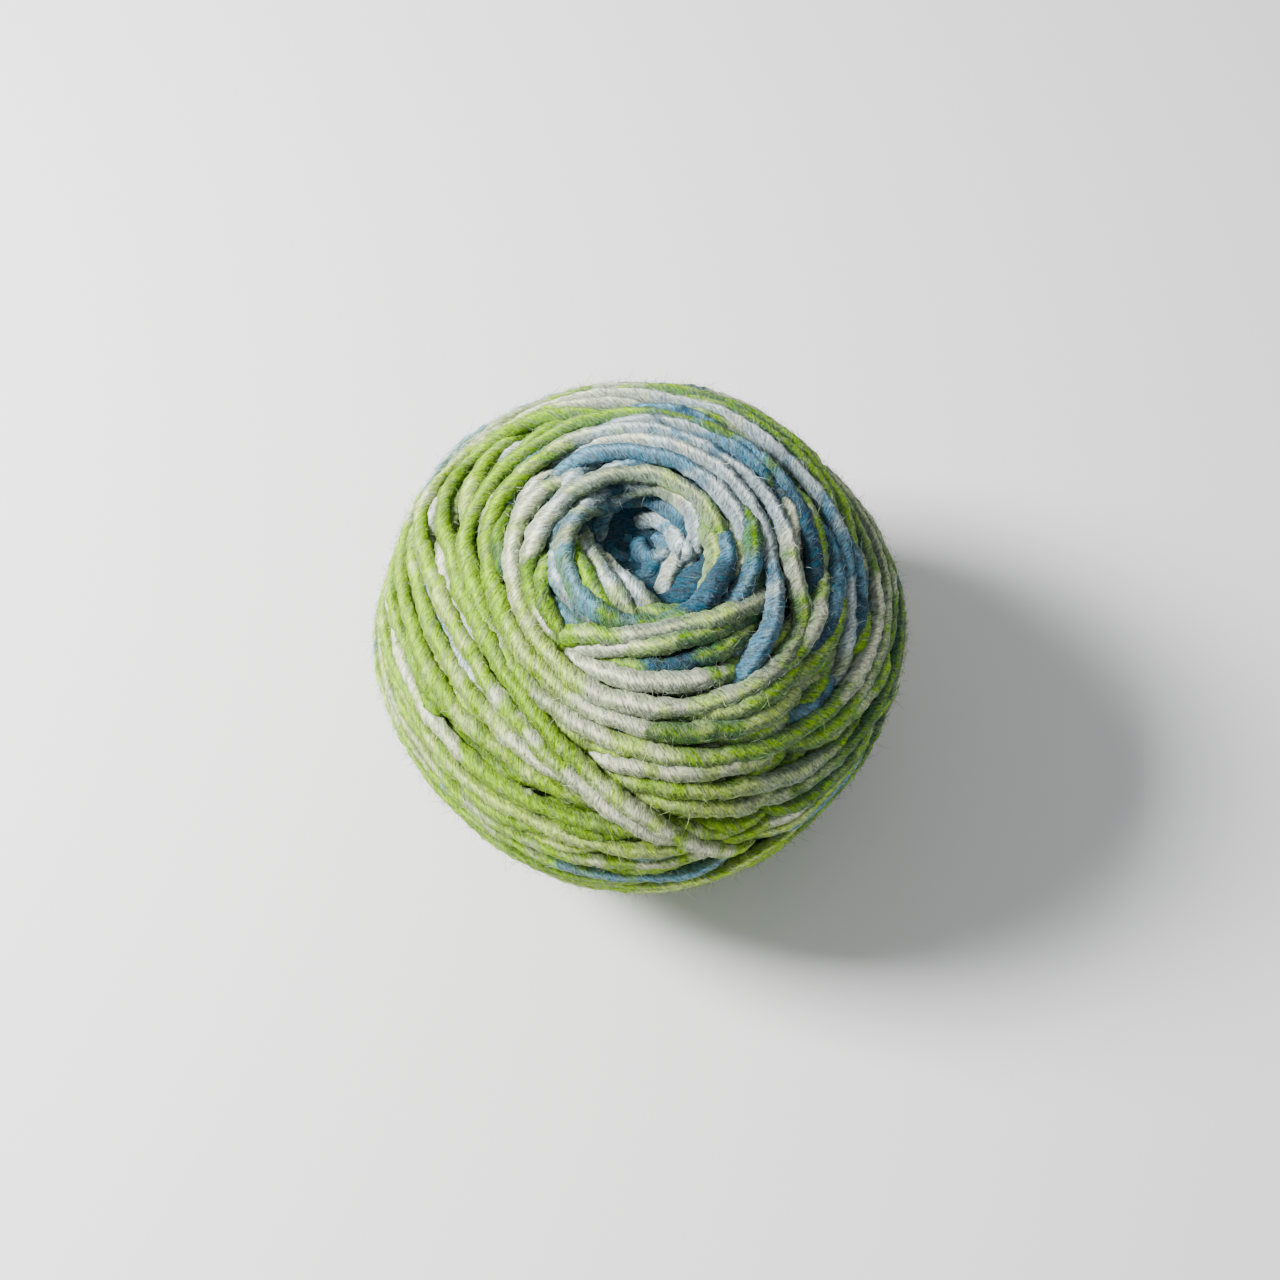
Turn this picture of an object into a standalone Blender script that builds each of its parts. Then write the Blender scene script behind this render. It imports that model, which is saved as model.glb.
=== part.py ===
"""Ball of yarn: one wound solid with its main twists in relief.

Metres, +Z up. The ball stands on a small flat spot centred on the origin. Its winding
axis is upright, and the hollow that the winding pin left is at the top.
"""
import math

import bmesh
import bpy
from mathutils import Vector

MM = 0.001

# Outer form
BALL_WIDTH = 101 * MM
BALL_HEIGHT = 87 * MM
FLAT_SPOT_RADIUS = 14 * MM

# Hollow at the top of the winding axis
HOLLOW_MOUTH_RADIUS = 8.5 * MM
HOLLOW_FLOOR_RADIUS = 4.6 * MM
HOLLOW_DEPTH = 10.5 * MM

# Relief: how far the furrows between the twists lie below their crowns, how much lower
# each layer lies than the one outside it, and how softly crossing twists run together
FURROW_DEPTH = 2.7 * MM
LAYER_DROP = 0.7 * MM
SOFTNESS = 1.0 * MM
FOOT_FADE_HEIGHT = 6 * MM
ON_FOOT_HEIGHT = 0.5 * MM
IN_HOLLOW_SHARE = 0.99

# Mesh
STEPS_AROUND = 84
STEPS_DOWN = 51
STEPS_HOLLOW = 6
MERGE_DISTANCE = 0.00005

YARN_COLOUR = (0.60, 0.66, 0.42, 1.0)
YARN_ROUGHNESS = 0.85

# Main twists, each a flat loop round the ball: how far its plane leans from level, the
# bearing it leans towards, how far the plane passes above the ball's centre as a share
# of its radius, half the width of the twist, and the layer it lies in (0 is outermost).
TWIST_COLUMNS = ("lean_deg", "bearing_deg", "offset", "half_width", "layer")
TWISTS = {
    "mouth ring": (3, -86, 0.970, 4.5 * MM, 1),
    "left of mouth": (37, 24, 0.610, 4.5 * MM, 3),
    "bridge": (28, 98, 0.610, 4.5 * MM, 2),
    "crown ring": (11, -115, 0.870, 5.5 * MM, 1),
    "shoulder ring": (10, -100, 0.740, 6.0 * MM, 0),
    "lower shoulder": (12, 60, 0.620, 6.0 * MM, 1),
    "upper girth": (16, -123, 0.490, 6.0 * MM, 0),
    "front sweep": (17, 62, 0.420, 6.0 * MM, 1),
    "right sweep": (21, -20, 0.560, 6.0 * MM, 2),
    "back sweep": (19, -40, 0.200, 6.0 * MM, 1),
    "left diagonal": (56, 27, -0.140, 6.0 * MM, 0),
    "second diagonal": (36, 31, 0.050, 6.0 * MM, 0),
    "third diagonal": (20, 42, 0.120, 6.0 * MM, 1),
    "girth": (10, 150, 0.020, 6.0 * MM, 1),
    "lower girth": (10, 49, -0.110, 6.0 * MM, 1),
    "upper foot ring": (14, 160, -0.320, 6.5 * MM, 1),
    "lower foot ring": (9, -60, -0.520, 6.5 * MM, 0),
    "foot ring": (6, 80, -0.720, 6.5 * MM, 1),
    "rear crossing": (48, -120, 0.100, 6.0 * MM, 1),
    "far crossing": (58, 140, -0.200, 6.0 * MM, 2),
}


def clear_scene():
    for thing in list(bpy.data.objects):
        bpy.data.objects.remove(thing, do_unlink=True)


def make_material(name, colour, roughness):
    material = bpy.data.materials.new(name)
    material.use_nodes = True
    shader = material.node_tree.nodes["Principled BSDF"]
    shader.inputs["Base Color"].default_value = colour
    shader.inputs["Roughness"].default_value = roughness
    shader.inputs["Metallic"].default_value = 0.0
    material.diffuse_color = colour
    return material


def mouth_angle():
    """Angle from the axis, seen from the ball's centre, at which the hollow opens."""
    return math.asin(HOLLOW_MOUTH_RADIUS / (BALL_WIDTH / 2))


def foot_angle():
    """Angle from straight down at which the outer curve meets the flat spot."""
    return math.asin(FLAT_SPOT_RADIUS / (BALL_WIDTH / 2))


def curve_sizes():
    """Half width and half height of the oval that the outer curve follows, and its centre."""
    half_width = BALL_WIDTH / 2
    above = math.cos(mouth_angle())
    below = math.cos(foot_angle())
    half_height = BALL_HEIGHT / (above + below)
    return half_width, half_height, half_height * below


def turned_profile():
    """(radius, height) pairs from the hollow's floor over the mouth and down to the foot."""
    half_width, half_height, centre = curve_sizes()
    points = [(0.0, BALL_HEIGHT - HOLLOW_DEPTH)]
    for step in range(STEPS_HOLLOW):
        share = step / STEPS_HOLLOW
        radius = HOLLOW_FLOOR_RADIUS + (HOLLOW_MOUTH_RADIUS - HOLLOW_FLOOR_RADIUS) * share
        points.append((radius, BALL_HEIGHT - HOLLOW_DEPTH * (1 - share)))
    start = mouth_angle()
    end = math.pi - foot_angle()
    for step in range(STEPS_DOWN + 1):
        angle = start + (end - start) * step / STEPS_DOWN
        points.append((half_width * math.sin(angle), centre + half_height * math.cos(angle)))
    points.append((FLAT_SPOT_RADIUS / 2, 0.0))
    points.append((0.0, 0.0))
    return points


def turn_profile(name, collection):
    """The profile as a wire, turned about the upright axis by a Screw modifier."""
    points = turned_profile()
    mesh = bpy.data.meshes.new(name)
    edges = [(index, index + 1) for index in range(len(points) - 1)]
    mesh.from_pydata([(radius, 0.0, height) for radius, height in points], edges, [])
    wire = bpy.data.objects.new(name, mesh)
    collection.objects.link(wire)
    screw = wire.modifiers.new("turn", "SCREW")
    screw.steps = STEPS_AROUND
    screw.render_steps = STEPS_AROUND
    screw.use_merge_vertices = True
    screw.merge_threshold = MERGE_DISTANCE
    return wire


def loops():
    """One (normal, offset, half width, layer) for each main twist."""
    found = []
    for row in TWISTS.values():
        twist = dict(zip(TWIST_COLUMNS, row))
        lean = math.radians(twist["lean_deg"])
        bearing = math.radians(twist["bearing_deg"])
        normal = Vector((math.sin(lean) * math.cos(bearing),
                         math.sin(lean) * math.sin(bearing), math.cos(lean)))
        found.append((normal, twist["offset"], twist["half_width"], twist["layer"]))
    return found


def soft_least(first, second):
    """The lesser of two depths, rounded off where they are within the softness."""
    near = max(0.0, SOFTNESS - abs(first - second))
    return min(first, second) - near * near / (4 * SOFTNESS)


def relief(direction, all_loops):
    """Depth below the outermost crowns: a round-backed ridge along each loop, and the
    shallowest of all those that pass here. The distance from a loop is its angle from
    the loop's plane, as an arc on the ball."""
    depth = FURROW_DEPTH
    for normal, offset, half_width, layer in all_loops:
        angle = math.acos(max(-1.0, min(1.0, direction.dot(normal)))) - math.acos(offset)
        away = angle * BALL_WIDTH / 2 / half_width
        depth = soft_least(depth, layer * LAYER_DROP + FURROW_DEPTH * away * away)
    return depth


def lay_twists(mesh):
    """Presses the furrows between the twists into the turned form, fading out at the
    flat spot and inside the hollow."""
    half_width, half_height, centre = curve_sizes()
    all_loops = loops()
    for vertex in mesh.vertices:
        place = vertex.co
        radius = math.hypot(place.x, place.y)
        in_hollow = radius < HOLLOW_MOUTH_RADIUS * IN_HOLLOW_SHARE and place.z > centre
        on_foot = place.z < ON_FOOT_HEIGHT
        if in_hollow or on_foot:
            continue
        direction = Vector((place.x / half_width, place.y / half_width,
                            (place.z - centre) / half_height)).normalized()
        fade = min(1.0, place.z / FOOT_FADE_HEIGHT) ** 2
        inward = Vector((place.x, place.y, place.z - centre)).normalized()
        vertex.co = place - inward * relief(direction, all_loops) * fade


def settle(mesh):
    """Centres the body on the upright axis and closes it facing outwards."""
    body = bmesh.new()
    body.from_mesh(mesh)
    bmesh.ops.remove_doubles(body, verts=body.verts, dist=MERGE_DISTANCE)
    bmesh.ops.recalc_face_normals(body, faces=body.faces)
    for axis in (0, 1):
        low = min(vertex.co[axis] for vertex in body.verts)
        high = max(vertex.co[axis] for vertex in body.verts)
        for vertex in body.verts:
            vertex.co[axis] -= (low + high) / 2
    body.to_mesh(mesh)
    body.free()


def make_yarn_ball(collection, material):
    wire = turn_profile("turned_form", collection)
    bpy.context.view_layer.update()
    turned = wire.evaluated_get(bpy.context.evaluated_depsgraph_get())
    mesh = bpy.data.meshes.new_from_object(turned)
    bpy.data.objects.remove(wire, do_unlink=True)
    mesh.name = "yarn_ball"
    lay_twists(mesh)
    settle(mesh)
    mesh.materials.clear()
    mesh.materials.append(material)
    mesh.shade_smooth()
    ball = bpy.data.objects.new("yarn_ball", mesh)
    collection.objects.link(ball)
    return ball


def main():
    clear_scene()
    collection = bpy.data.collections.new("ball_of_yarn")
    bpy.context.scene.collection.children.link(collection)
    material = make_material("yarn", YARN_COLOUR, YARN_ROUGHNESS)
    make_yarn_ball(collection, material)


main()
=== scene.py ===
import math

import bpy
import numpy as np
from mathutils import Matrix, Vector


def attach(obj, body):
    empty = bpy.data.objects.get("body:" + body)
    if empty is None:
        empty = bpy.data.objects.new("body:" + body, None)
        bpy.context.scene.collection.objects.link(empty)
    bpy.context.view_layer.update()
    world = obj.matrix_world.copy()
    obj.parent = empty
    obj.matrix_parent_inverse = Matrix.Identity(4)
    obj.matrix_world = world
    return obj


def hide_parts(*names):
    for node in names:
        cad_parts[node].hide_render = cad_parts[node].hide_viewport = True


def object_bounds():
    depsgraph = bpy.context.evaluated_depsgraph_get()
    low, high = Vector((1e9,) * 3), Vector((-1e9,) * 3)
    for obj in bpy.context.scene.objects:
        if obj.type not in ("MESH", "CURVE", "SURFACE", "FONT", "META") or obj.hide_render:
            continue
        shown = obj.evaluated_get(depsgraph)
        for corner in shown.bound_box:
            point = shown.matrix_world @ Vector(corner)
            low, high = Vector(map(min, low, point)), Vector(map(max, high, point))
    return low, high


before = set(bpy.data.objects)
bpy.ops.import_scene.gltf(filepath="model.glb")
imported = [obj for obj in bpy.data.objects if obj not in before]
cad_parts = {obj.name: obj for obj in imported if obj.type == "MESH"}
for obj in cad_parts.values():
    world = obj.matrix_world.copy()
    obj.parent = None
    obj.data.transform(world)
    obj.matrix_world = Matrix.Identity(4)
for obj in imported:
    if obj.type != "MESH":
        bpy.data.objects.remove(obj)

# The wound form.
# The yarn lies on an oval body, wider than it is tall, that the windings below it make.
# Swells and flats come from uneven winding, the funnel at the top from the winding pin,
# and the flat spot below from the ball's own weight.
cad_low, cad_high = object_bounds()
MM = 0.001

# The skin is a little larger than the part's box, because tension draws the strands in.
# The oval's half height is more than half of the ball's height, so that its foot reaches
# below the resting plane, where the yarn is pressed flat.
PAST_SIDES = 0.9 * MM
PAST_TOP = 0.6 * MM
HALF_HEIGHT_SHARE = 0.514
HALF_WIDTH = (cad_high.x - cad_low.x) / 2 + PAST_SIDES
HEIGHT = cad_high.z - cad_low.z + PAST_TOP
HALF_HEIGHT = HEIGHT * HALF_HEIGHT_SHARE
MIDDLE = np.array([0.0, 0.0, HEIGHT - HALF_HEIGHT])
OVAL = np.array([HALF_WIDTH, HALF_WIDTH, HALF_HEIGHT])

# The funnel's radius at its rim and at its throat, its depth, and the way it sinks.
FUNNEL_OUTER = 14.5 * MM
FUNNEL_INNER = 4.5 * MM
FUNNEL_DEPTH = 8.5 * MM
FUNNEL_WAY = np.array([0.0, 0.40, -0.92])

# Each swell or flat: its bearing round the ball (0 at +X, -90 at the front), its height as
# an angle above the middle, how far it reaches in degrees, and how much it rises.
SWELL_COLUMNS = ("bearing", "above", "reach", "rise")
SWELLS = {
    "upper left shoulder": (152, 22, 24, 1.2 * MM),
    "notch by the shoulder": (166, 10, 9, -1.5 * MM),
    "left cheek": (186, 0, 14, 0.7 * MM),
    "flat of the right shoulder": (38, 20, 16, -1.2 * MM),
    "right flank": (2, 4, 22, 0.8 * MM),
    "flat of the lower right": (-42, -10, 22, -1.4 * MM),
    "flat of the lower left": (-135, -12, 20, -0.9 * MM),
}


def way_to(bearing, above):
    """Unit vector at a bearing and an angle above level, both in degrees."""
    level = math.cos(math.radians(above))
    return np.array([level * math.cos(math.radians(bearing)),
                     level * math.sin(math.radians(bearing)),
                     math.sin(math.radians(above))])


def ramp(value, low, high):
    """0 below low, 1 above high, and between them the smooth step 3t^2 - 2t^3."""
    share = np.clip((value - low) / (high - low), 0, 1)
    return share * share * (3 - 2 * share)


def outward(ways):
    """The oval's normals: each way divided by the oval's half sizes, made unit length."""
    normals = ways / OVAL
    return normals / np.linalg.norm(normals, axis=-1, keepdims=True)


def form(ways):
    """Where the yarn's outer skin lies in each way from the middle: the oval's half sizes
    times the way, plus every swell as a bell curve of the angle from its centre."""
    rise = np.zeros(ways.shape[:-1])
    for row in SWELLS.values():
        swell = dict(zip(SWELL_COLUMNS, row))
        centre = way_to(swell["bearing"], swell["above"])
        angle = np.degrees(np.arccos(np.clip(ways @ centre, -1, 1)))
        rise = rise + swell["rise"] * np.exp(-((angle / swell["reach"]) ** 2))
    return MIDDLE + ways * OVAL + outward(ways) * rise[..., None]


def funnel(ways):
    """How far the funnel at the top carries the yarn down in each way: none outside its
    rim, and its full depth within its throat, with a smooth step between."""
    from_axis = HALF_WIDTH * np.hypot(ways[..., 0], ways[..., 1])
    share = (ways[..., 2] > 0) * (1 - ramp(from_axis, FUNNEL_INNER, FUNNEL_OUTER))
    return (FUNNEL_DEPTH * share)[..., None] * FUNNEL_WAY


# The left diagonals, the outermost yarn.
# Eight threads that slant down across the left and the front, each laid beside the last.
# The yarn is three soft plies, about 4 mm thick, and presses into what it crosses.

# A strand is pressed wider than it is thick, and its tips round off over a short length.
# PRESSED is how far above the resting plane its middle stays, as a share of its half
# thickness. Its plies lie off its middle by PLY_OFFSET, as a share of its radius.
YARN_RADIUS = 1.6 * MM
YARN_WIDE = 1.30
YARN_FLAT = 0.88
TIP_LENGTH = 2.2 * YARN_RADIUS
TIP_LEAST = 0.02
PRESSED = 0.8
PLIES = 3
PLY_OFFSET = 0.33
PLY_PITCH = 10.5 * MM
FUZZ_RELIEF = 0.035

# Each strand is a tube with SIDES corners round it, in steps of one length. It shows
# while it lies less than HIDDEN_DEPTH below the skin, or within a blur of such a place,
# and runs of SHORTEST_RUN steps or fewer are left out.
SIDES = 15
STEP = 1.2 * MM
FEWEST_STEPS = 8
POINTS_ALONG = 400
HIDDEN_DEPTH = 6.6 * MM
HIDDEN_BLUR = 6
HIDDEN_SHARE = 0.02
SHORTEST_RUN = 7

# Strands are laid with their middle lines about CONTACT apart or more, a stretch at a
# time. Tension then smooths them, and their ends dive out of sight below the others. A
# thread bends between two turns over a length set by the passes of averaging, which is
# shorter where one of them is tight.
CONTACT = 1.85 * MM
TOUCHING = 0.97
ROOM_PASSES = 5
STRETCH_LENGTH = 24 * MM
TENSION_PASSES = 26
END_DIVE = 8.0 * MM
END_DIVE_LENGTH = 15 * MM
END_DIVE_SHARE = 0.2
BEND_PASSES = 60
TIGHT_BEND_PASSES = 8
TIGHT_ROUND = 12

# How yarn wound by hand strays, each as the length and the size of its sway: how deep it
# lies, how far it strays aside, its twist, its thickness, and where its dyes change.
SWAY_RATES = (0.45, 1.0, 1.9)
DEPTH_SWAY = (45 * MM, 1.3 * MM)
SIDE_SWAY = (16 * MM, 0.35 * MM)
TWIST_SWAY = (45 * MM, 1.2)
LONG_SWELLS = (24 * MM, 0.16)
SHORT_SWELLS = (6 * MM, 0.10)
LONG_DYE_SWAY = (30 * MM, 0.6)
SHORT_DYE_SWAY = (9 * MM, 0.5)
PLY_DYE_SWAY = (9 * MM, 4)
chance = np.random.default_rng(5)

# Dyes as they look in daylight, red, green and blue from 0 to 1 on a screen's scale.
DYES = {
    "white": (0.95, 0.97, 0.82),
    "ice": (0.86, 0.92, 0.91),
    "pale": (0.78, 0.88, 0.46),
    "grey": (0.72, 0.77, 0.58),
    "lime": (0.58, 0.76, 0.0),
    "green": (0.42, 0.58, 0.0),
    "blue": (0.43, 0.62, 0.71),
    # navy is partly a dark blue dye and partly painted shade: much of it lies on strands in the
    # gaps and on the shaded left and front of the hollow.
    "navy": (0.17, 0.31, 0.38),
}
# Painted shade: the dark colours painted into the grooves and onto the deep yarn, and the
# bearing and angle above level round which this painted shade is blue, from one cosine of
# the angle to it to another. Two dyes blend over the middle of the length that they share.
SHADE_GREEN = (0.24, 0.35, 0.0)
SHADE_BLUE = (0.15, 0.28, 0.34)
BLUE_SIDE = (20, 35)
BLUE_FROM, BLUE_FULL = 0.05, 0.55
DYE_BLEND = (0.15, 0.85)

# A strand's plies differ in dye by these shares. Painted light and shade: each strand keeps
# its dye along a lit ridge that faces out and a little up, and is painted darker with the
# shade colour down its flanks and where it lies deep.
PLY_DYE_SHIFTS = (0.3, 0.15)
LIT_RIDGE_LIFT = 0.5
LIT_RIDGE_HALF = 0.5
FLANK_SHADE = 0.9
SUNK_SHADE = 0.45
SUNK_FROM, SUNK_FULL = 0.8 * MM, 4.2 * MM
SHADE_MIX = 0.75

# Each turn lies in a plane. The columns are how far the plane leans from level, the
# bearing it leans towards, the turn's radius as an angle seen from the middle, where
# along the turn it comes up and goes under (0 at +X, -90 at the front), how many
# millimetres deeper than the skin it lies, its dyes from one end to the other, and
# whether it runs on into the turn of the next row. Angles are in degrees.
TURN_COLUMNS = ("lean", "towards", "round", "start", "end", "deeper", "dyes", "runs_on")
LEFT_DIAGONALS = {
    "left rim": (17, 172, 36.3, 45, 158, 0, "pale lime lime green lime", True),
    "long diagonal": (51, 25, 91.4, -168, -30, 0, "lime lime pale white lime lime", False),
    "outer right sweep": (17, -123, 60.7, -40, 128, 0, "grey ice blue ice ice white", True),
    "over the left rim": (43, -69, 93.1, 133, 149, 0, "white pale", True),
    "second diagonal": (52, 29, 97.8, -172, -50, 0, "lime pale lime white white pale", False),
    "third diagonal": (36, 32, 87.9, -200, -52, 0, "pale lime lime pale white lime pale", False),
    "fourth diagonal": (25, 36, 83.0, -220, -50, 0, "white lime lime pale lime lime", False),
    "fifth diagonal": (18, 43, 84.3, -225, -50, 0, "lime pale white lime lime pale", False),
    "sixth diagonal": (13, 44, 86.2, -235, -45, 0, "lime lime lime pale pale lime", False),
    "seventh diagonal": (4, -80, 79.5, -220, -30, 0, "pale pale grey lime white blue", False),
    "lowest visible": (6, -57, 85.6, -200, -9, 0, "grey grey lime blue blue grey", False),
}


def to_linear(colour):
    """A screen colour as the linear light that shaders use."""
    colour = np.asarray(colour, float)
    return np.where(colour < 0.04045, colour / 12.92, ((colour + 0.055) / 1.055) ** 2.4)


def round_the_ball(lean, towards, radius, bearing):
    """Unit vectors along a circle on the ball: the plane's normal times the cosine of the
    radius, plus its sine times the way of each bearing within the plane."""
    lean, towards, radius, bearing = (np.radians(angle) for angle in
                                      (lean, towards, radius, bearing))
    normal = np.stack(np.broadcast_arrays(np.sin(lean) * np.cos(towards),
                                          np.sin(lean) * np.sin(towards),
                                          np.cos(lean)), -1)
    along_x = np.array([1.0, 0, 0]) - normal[..., :1] * normal
    along_x = along_x / np.linalg.norm(along_x, axis=-1, keepdims=True)
    across = np.cross(normal, along_x)
    level = np.cos(bearing)[..., None] * along_x + np.sin(bearing)[..., None] * across
    radius = np.asarray(radius)[..., None]
    return np.cos(radius) * normal + np.sin(radius) * level


def even_steps(ways):
    """The same path in steps of equal length, read off by its running length."""
    places = form(ways)
    run = np.concatenate([[0], np.cumsum(np.linalg.norm(np.diff(places, axis=0), axis=1))])
    count = max(FEWEST_STEPS, int(run[-1] / STEP))
    evenly = np.linspace(0, run[-1], count + 1)
    steps = np.stack([np.interp(evenly, run, ways[:, axis]) for axis in range(3)], -1)
    return steps / np.linalg.norm(steps, axis=1, keepdims=True)


def wander(count, length, size):
    """A slow, smooth, random sway: three sine waves whose lengths are near `length`."""
    run = np.arange(count) * STEP
    waves = sum(np.sin(run / length * math.tau * rate + chance.uniform(0, math.tau))
                for rate in SWAY_RATES)
    return size * waves / len(SWAY_RATES)


def blurred(values, passes):
    """Each value averaged with its neighbours, as many times as there are passes."""
    for _ in range(passes):
        padded = np.concatenate([values[:1], values, values[-1:]])
        values = (padded[:-2] + 2 * values + padded[2:]) / 4
    return values


class Pile:
    """The yarn laid so far, from the outside inwards: the middle line's places on the
    skin, and how deep below the skin each lies."""

    def __init__(self):
        self.places = np.zeros((0, 3))
        self.depths = np.zeros(0)

    def room(self, places, depth, contact):
        """The least depth at which a strand fits under or between those laid: two round
        strands a distance d apart need a height of sqrt(contact^2 - d^2) between them."""
        if not len(self.places):
            return depth
        near_low = places.min(0) - contact
        near_high = places.max(0) + contact
        near = np.all((self.places > near_low) & (self.places < near_high), axis=1)
        laid, laid_depths = self.places[near], self.depths[near]
        if not len(laid):
            return depth
        gap = ((places ** 2).sum(1)[:, None] + (laid ** 2).sum(1)[None]
               - 2 * places @ laid.T)
        mine, other = np.nonzero(gap < contact ** 2)
        height = np.sqrt(contact ** 2 - np.maximum(gap[mine, other], 0))
        depth = depth.copy()
        for _ in range(ROOM_PASSES):
            clash = np.abs(depth[mine] - laid_depths[other]) < height * TOUCHING
            pushed = np.where(clash, laid_depths[other] + height, -1)
            deeper = depth.copy()
            np.maximum.at(deeper, mine, pushed)
            if np.allclose(deeper, depth):
                break
            depth = deeper
        return depth

    def lay(self, ways, deeper, contact=CONTACT):
        """Lays one strand and returns its depths. It takes the least depth that fits, a
        stretch at a time so that it clears its own earlier turns, and its tension then
        carries it smoothly below every rise."""
        places = form(ways)
        count = len(ways)
        before = len(self.places)
        need = np.zeros(count)
        stretch = int(STRETCH_LENGTH / STEP)
        waiting = None
        for start in range(0, count, stretch):
            part = slice(start, start + stretch)
            need[part] = self.room(places[part], deeper[part], contact)
            if waiting is not None:
                self.add(places[waiting], need[waiting])
            waiting = part
        depth = need
        for _ in range(TENSION_PASSES):
            depth = np.maximum(need, blurred(depth, 2))
        self.places = np.concatenate([self.places[:before], places])
        self.depths = np.concatenate([self.depths[:before], depth])
        return depth

    def add(self, places, depths):
        """Counts a stretch as laid, so that what follows clears it."""
        self.places = np.concatenate([self.places, places])
        self.depths = np.concatenate([self.depths, depths])


pile = Pile()


def dye_of(words, share):
    """The linear colour at each share along a strand, where each dye word is one unit
    long and each runs smoothly into the next."""
    colours = np.array([to_linear(DYES[word]) for word in words])
    share = np.clip(share, 0, len(colours) - 1.001)
    first = np.floor(share).astype(int)
    blend = ramp(share - first, *DYE_BLEND)[..., None]
    return colours[first] * (1 - blend) + colours[first + 1] * blend


def painted_groove_shade(ways):
    """The painted shade colour for the grooves and the deep yarn: a dark green at the left
    and the front, and a dark blue at the right and round the mouth."""
    blue = ramp(ways @ way_to(*BLUE_SIDE), BLUE_FROM, BLUE_FULL)[..., None]
    return to_linear(SHADE_GREEN) * (1 - blue) + to_linear(SHADE_BLUE) * blue


def threads_of(rows):
    """Groups a table's turns into threads: lists of turns that run on into each other."""
    threads = [[]]
    for row in rows.values():
        turn = dict(zip(TURN_COLUMNS, row))
        threads[-1].append(turn)
        if not turn["runs_on"]:
            threads.append([])
    return threads[:-1]


def joined_ways(thread):
    """The turns of one thread end to end, with each corner between two turns rounded off
    by averaging over the length of a bend."""
    parts = [even_steps(round_the_ball(turn["lean"], turn["towards"], turn["round"],
                                       np.linspace(turn["start"], turn["end"],
                                                   POINTS_ALONG)))
             for turn in thread]
    ways = even_steps(np.concatenate(parts))
    if len(parts) > 1:
        tight = min(turn["round"] for turn in thread) < TIGHT_ROUND
        passes = TIGHT_BEND_PASSES if tight else BEND_PASSES
        ways = np.stack([blurred(ways[:, axis], passes) for axis in range(3)], -1)
        ways = ways / np.linalg.norm(ways, axis=1, keepdims=True)
    return even_steps(ways)


def lay_turns(rows, contact=CONTACT, dive=END_DIVE):
    """Lays every thread of a table and returns (ways, depths, words, shares) for each."""
    strands = []
    for thread in threads_of(rows):
        ways = joined_ways(thread)
        count = len(ways)
        share = np.linspace(0, 1, len(thread))
        extra = np.interp(np.linspace(0, 1, count), share, [turn["deeper"] for turn in thread])
        deeper = extra * MM + np.abs(wander(count, *DEPTH_SWAY))
        from_end = np.minimum(np.arange(count), np.arange(count)[::-1]) * STEP
        dive_length = min(END_DIVE_LENGTH, END_DIVE_SHARE * count * STEP)
        deeper = deeper + dive * (1 - ramp(from_end, 0, dive_length))
        depths = pile.lay(ways, deeper, contact)
        words = " ".join(turn["dyes"] for turn in thread).split()
        shares = (np.linspace(0, len(words) - 1, count) + wander(count, *LONG_DYE_SWAY)
                  + wander(count, *SHORT_DYE_SWAY))
        strands.append((ways, depths, words, shares))
    return strands


def showing_runs(depths):
    """(first, last) of each stretch of a strand that isn't buried out of sight."""
    shown = blurred((depths < HIDDEN_DEPTH).astype(float), HIDDEN_BLUR) > HIDDEN_SHARE
    edges = np.flatnonzero(np.diff(np.concatenate([[0], shown.astype(int), [0]])))
    return [(start, end) for start, end in zip(edges[::2], edges[1::2])
            if end - start > SHORTEST_RUN]


def ply_outline(turned):
    """Radius of three round plies pressed together, at each angle, as a share of the
    whole: the far side of the nearest ply, which is a circle set off the middle."""
    ply = math.tau / PLIES
    nearest = (turned + ply / 2) % ply - ply / 2
    own = 1 - PLY_OFFSET
    return PLY_OFFSET * np.cos(nearest) + np.sqrt(own ** 2 - (PLY_OFFSET * np.sin(nearest)) ** 2)


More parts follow.
